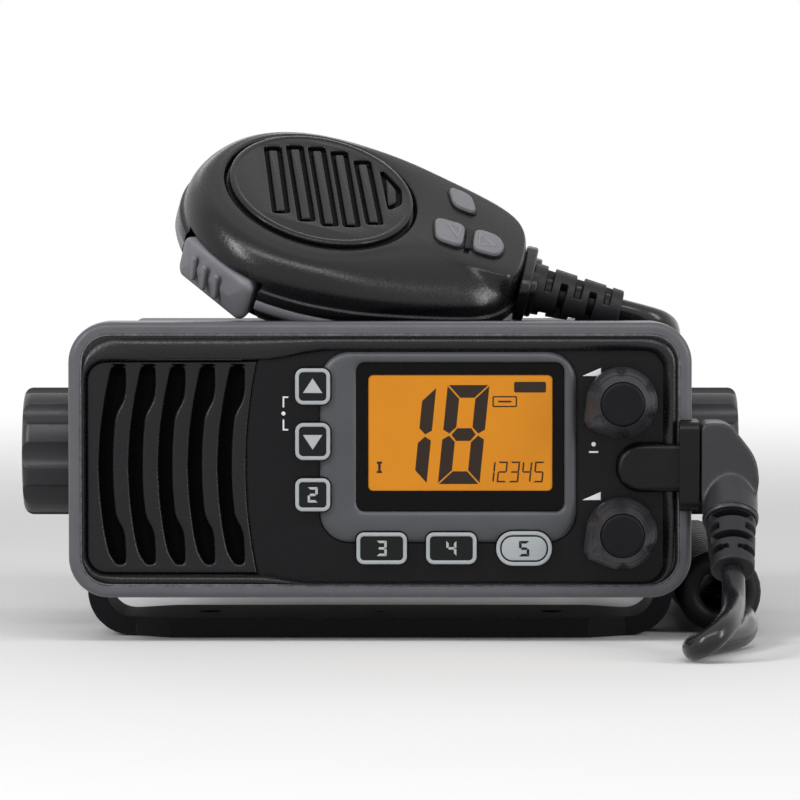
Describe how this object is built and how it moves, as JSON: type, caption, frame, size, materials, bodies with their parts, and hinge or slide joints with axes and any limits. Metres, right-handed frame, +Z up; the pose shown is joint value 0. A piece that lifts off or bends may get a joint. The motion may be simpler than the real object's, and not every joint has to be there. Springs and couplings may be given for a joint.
{
  "type": "marine radio with hand microphone",
  "caption": "Compact marine radio with speaker grille, amber display, keys and knobs, on a tilting bracket, with a corded hand microphone on top.",
  "frame": {"origin": "centre of the bracket's bolt row on its underside, below the tilt axis", "axes": "+X to the radio's right seen from the front, +Y to its back, +Z up"},
  "size_m": [0.1847, 0.2154, 0.1252],
  "materials": {
    "textured_black": "matte",
    "rim_grey": "satin",
    "frame_grey": "satin",
    "window_black": "gloss",
    "lcd_amber": "satin",
    "key_grey": "satin",
    "knob_black": "satin",
    "chassis_black": "satin",
    "bracket_black": "satin",
    "rubber_black": "matte",
    "board_green": "satin",
    "steel": "satin",
    "mesh_black": "matte",
    "mic_black": "satin",
    "mic_grey": "satin"
  },
  "bodies": {
    "bracket": {"bracket": "bracket_black", "cord_coil": "rubber_black", "cord_lead": "rubber_black", "cord_tail_lower": "rubber_black"},
    "radio": {"accessory_gland": "rubber_black", "antenna_socket": "steel", "chassis": "chassis_black", "control_board": "board_green", "control_face": "textured_black", "cord_tail_upper": "rubber_black", "display_frame": "frame_grey", "display_window": "window_black", "front_panel": "textured_black", "front_rim": "rim_grey", "front_seal": "rubber_black", "keypad_mat": "rubber_black", "lcd_panel": "lcd_amber", "left_friction_washer": "rubber_black", "main_board": "board_green", "mic_socket": "textured_black", "plug_boot": "rubber_black", "plug_elbow": "rubber_black", "power_gland": "rubber_black", "right_friction_washer": "rubber_black", "speaker_basket": "steel", "speaker_grille": "textured_black", "speaker_magnet": "steel", "speaker_mesh": "mesh_black", "squelch_pot": "steel", "volume_pot": "steel"},
    "volume_knob": {"volume_knob": "knob_black", "volume_knob_cap": "knob_black", "volume_shaft": "steel"},
    "squelch_knob": {"squelch_knob": "knob_black", "squelch_knob_cap": "knob_black", "squelch_shaft": "steel"},
    "left_mount_knob": {"left_mount_knob": "knob_black", "left_mount_stud": "steel"},
    "right_mount_knob": {"right_mount_knob": "knob_black", "right_mount_stud": "steel"},
    "microphone": {"mic_front_shell": "mic_black", "mic_rear_shell": "mic_black", "mic_gasket": "mic_grey", "mic_grille": "mic_black", "mic_mesh": "mesh_black", "mic_board": "board_green", "mic_capsule": "mic_black", "mic_hanger_button": "mic_black", "mic_collar": "rubber_black", "mic_boot": "rubber_black"},
    "ptt_button": {"ptt_button": "mic_grey"},
    "key_up": {"key_up": "key_grey"},
    "key_down": {"key_down": "key_grey"},
    "key_watch": {"key_watch": "key_grey"},
    "key_scan": {"key_scan": "key_grey"},
    "key_channel": {"key_channel": "key_grey"},
    "key_call": {"key_call": "key_grey"},
    "mic_key_power": {"mic_key_power": "mic_grey"},
    "mic_key_down": {"mic_key_down": "mic_grey"},
    "mic_key_up": {"mic_key_up": "mic_grey"}
  },
  "joints": [
    {"name": "radio_tilt", "type": "hinge", "parent": "bracket", "child": "radio", "pos_m": [0, 0, 0.0452], "axis": [1, 0, 0], "range_deg": [-20, 8], "deforming": ["cord_lead", "cord_tail_lower"]},
    {"name": "left_knob_turn", "type": "hinge", "parent": "radio", "child": "left_mount_knob", "pos_m": [-0.0814, 0, 0.0452], "axis": [-1, 0, 0], "range_deg": [0, 720]},
    {"name": "right_knob_turn", "type": "hinge", "parent": "radio", "child": "right_mount_knob", "pos_m": [0.0814, 0, 0.0452], "axis": [1, 0, 0], "range_deg": [0, 720]},
    {"name": "volume_turn", "type": "hinge", "parent": "radio", "child": "volume_knob", "pos_m": [0.0592, -0.036, 0.0594], "axis": [0, 1, 0], "range_deg": [0, 270]},
    {"name": "squelch_turn", "type": "hinge", "parent": "radio", "child": "squelch_knob", "pos_m": [0.0592, -0.036, 0.0273], "axis": [0, 1, 0], "range_deg": [0, 270]},
    {"name": "key_up_press", "type": "slide", "parent": "radio", "child": "key_up", "axis": [0, 1, 0], "range_m": [0, 0.0008], "stiffness_N_per_m": 600},
    {"name": "key_down_press", "type": "slide", "parent": "radio", "child": "key_down", "axis": [0, 1, 0], "range_m": [0, 0.0008], "stiffness_N_per_m": 600},
    {"name": "key_watch_press", "type": "slide", "parent": "radio", "child": "key_watch", "axis": [0, 1, 0], "range_m": [0, 0.0008], "stiffness_N_per_m": 600},
    {"name": "key_scan_press", "type": "slide", "parent": "radio", "child": "key_scan", "axis": [0, 1, 0], "range_m": [0, 0.0008], "stiffness_N_per_m": 600},
    {"name": "key_channel_press", "type": "slide", "parent": "radio", "child": "key_channel", "axis": [0, 1, 0], "range_m": [0, 0.0008], "stiffness_N_per_m": 600},
    {"name": "key_call_press", "type": "slide", "parent": "radio", "child": "key_call", "axis": [0, 1, 0], "range_m": [0, 0.0008], "stiffness_N_per_m": 600},
    {"name": "microphone_lift", "type": "slide", "parent": "radio", "child": "microphone", "axis": [0, 0, 1], "range_m": [0, 0.06], "deforming": ["cord_tail_upper"]},
    {"name": "ptt_press", "type": "slide", "parent": "microphone", "child": "ptt_button", "axis": [0.7445, 0.6302, 0.2202], "range_m": [0, 0.002], "stiffness_N_per_m": 1200},
    {"name": "mic_key_power_press", "type": "slide", "parent": "microphone", "child": "mic_key_power", "axis": [-0.2052, 0.5299, -0.8229], "range_m": [0, 0.0008], "stiffness_N_per_m": 600},
    {"name": "mic_key_down_press", "type": "slide", "parent": "microphone", "child": "mic_key_down", "axis": [-0.2052, 0.5299, -0.8229], "range_m": [0, 0.0008], "stiffness_N_per_m": 600},
    {"name": "mic_key_up_press", "type": "slide", "parent": "microphone", "child": "mic_key_up", "axis": [-0.2052, 0.5299, -0.8229], "range_m": [0, 0.0008], "stiffness_N_per_m": 600}
  ]
}
